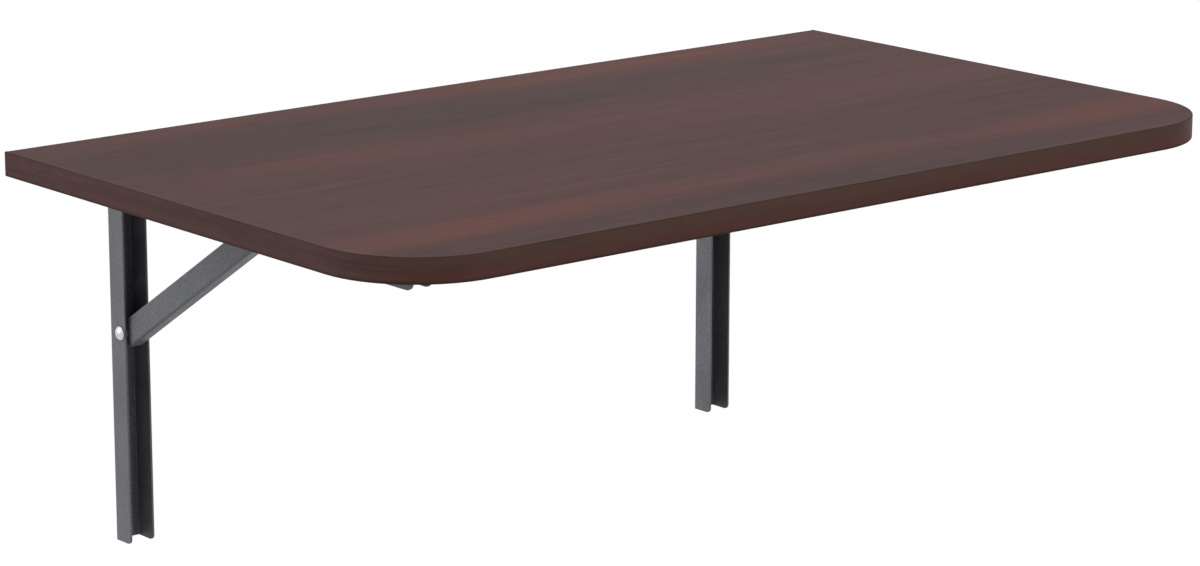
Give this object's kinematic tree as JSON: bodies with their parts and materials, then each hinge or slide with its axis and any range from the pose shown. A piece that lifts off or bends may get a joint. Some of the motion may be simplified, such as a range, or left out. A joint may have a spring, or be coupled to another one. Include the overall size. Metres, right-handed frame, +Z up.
{
  "type": "wall mounted drop leaf table",
  "caption": "Round-cornered laminated leaf on folding steel wall brackets; sliding braces let it drop flat against the wall.",
  "frame": {"origin": "middle of the rectangle of the four outer wall screw holes, on the wall plane", "axes": "+X along the wall, to the right seen from the front; +Y into the wall; +Z up"},
  "size_m": [0.78, 0.476, 0.3092],
  "materials": {
    "wenge_laminate": "satin dark wood-grain laminate",
    "edge_band": "satin dark edging",
    "particle_board": "raw pressed chips",
    "painted_steel": "grey powder coat",
    "zinc": "bright zinc plate",
    "spring_steel": "blued spring steel"
  },
  "bodies": {
    "wall_rails": {"left_wall_rail": "painted_steel", "left_hinge_rivet": "zinc", "left_brace_rivet": "zinc", "left_brace_spacers": "zinc", "right_wall_rail": "painted_steel", "right_hinge_rivet": "zinc", "right_brace_rivet": "zinc", "right_brace_spacers": "zinc"},
    "leaf": {"tabletop_core": "particle_board", "top_laminate": "wenge_laminate", "bottom_laminate": "wenge_laminate", "edge_band": "edge_band", "back_edge_band": "edge_band", "left_arm": "painted_steel", "left_arm_screws": "zinc", "left_lock_spring": "spring_steel", "left_lock_rivet": "zinc", "right_arm": "painted_steel", "right_arm_screws": "zinc", "right_lock_spring": "spring_steel", "right_lock_rivet": "zinc"},
    "left_strut": {"left_brace": "painted_steel"},
    "left_slider": {"left_slide_pin": "zinc", "left_slide_washers": "zinc"},
    "right_strut": {"right_brace": "painted_steel"},
    "right_slider": {"right_slide_pin": "zinc", "right_slide_washers": "zinc"}
  },
  "joints": [
    {"name": "leaf_fold", "type": "hinge", "parent": "wall_rails", "child": "leaf", "pos_m": [0, -0.0105, 0.1395], "axis": [1, 0, 0], "range_deg": [0, 90], "deforming": ["left_lock_spring", "right_lock_spring"]},
    {"name": "left_brace_swing", "type": "hinge", "parent": "wall_rails", "child": "left_strut", "pos_m": [-0.2855, -0.0134, 0.0333], "axis": [1, 0, 0], "range_deg": [0, 120.38]},
    {"name": "left_pin_slide", "type": "slide", "parent": "leaf", "child": "left_slider", "axis": [0, -1, 0], "range_m": [0, 0.1371]},
    {"name": "right_brace_swing", "type": "hinge", "parent": "wall_rails", "child": "right_strut", "pos_m": [0.2855, -0.0134, 0.0333], "axis": [1, 0, 0], "range_deg": [0, 120.38]},
    {"name": "right_pin_slide", "type": "slide", "parent": "leaf", "child": "right_slider", "axis": [0, -1, 0], "range_m": [0, 0.1371]}
  ],
  "couplings": [
    {"joint": "left_brace_swing", "follows": "leaf_fold", "ratio": 1.3375},
    {"joint": "left_pin_slide", "follows": "leaf_fold", "m_per_rad": 0.087242},
    {"joint": "right_brace_swing", "follows": "leaf_fold", "ratio": 1.3375},
    {"joint": "right_pin_slide", "follows": "leaf_fold", "m_per_rad": 0.087242}
  ]
}
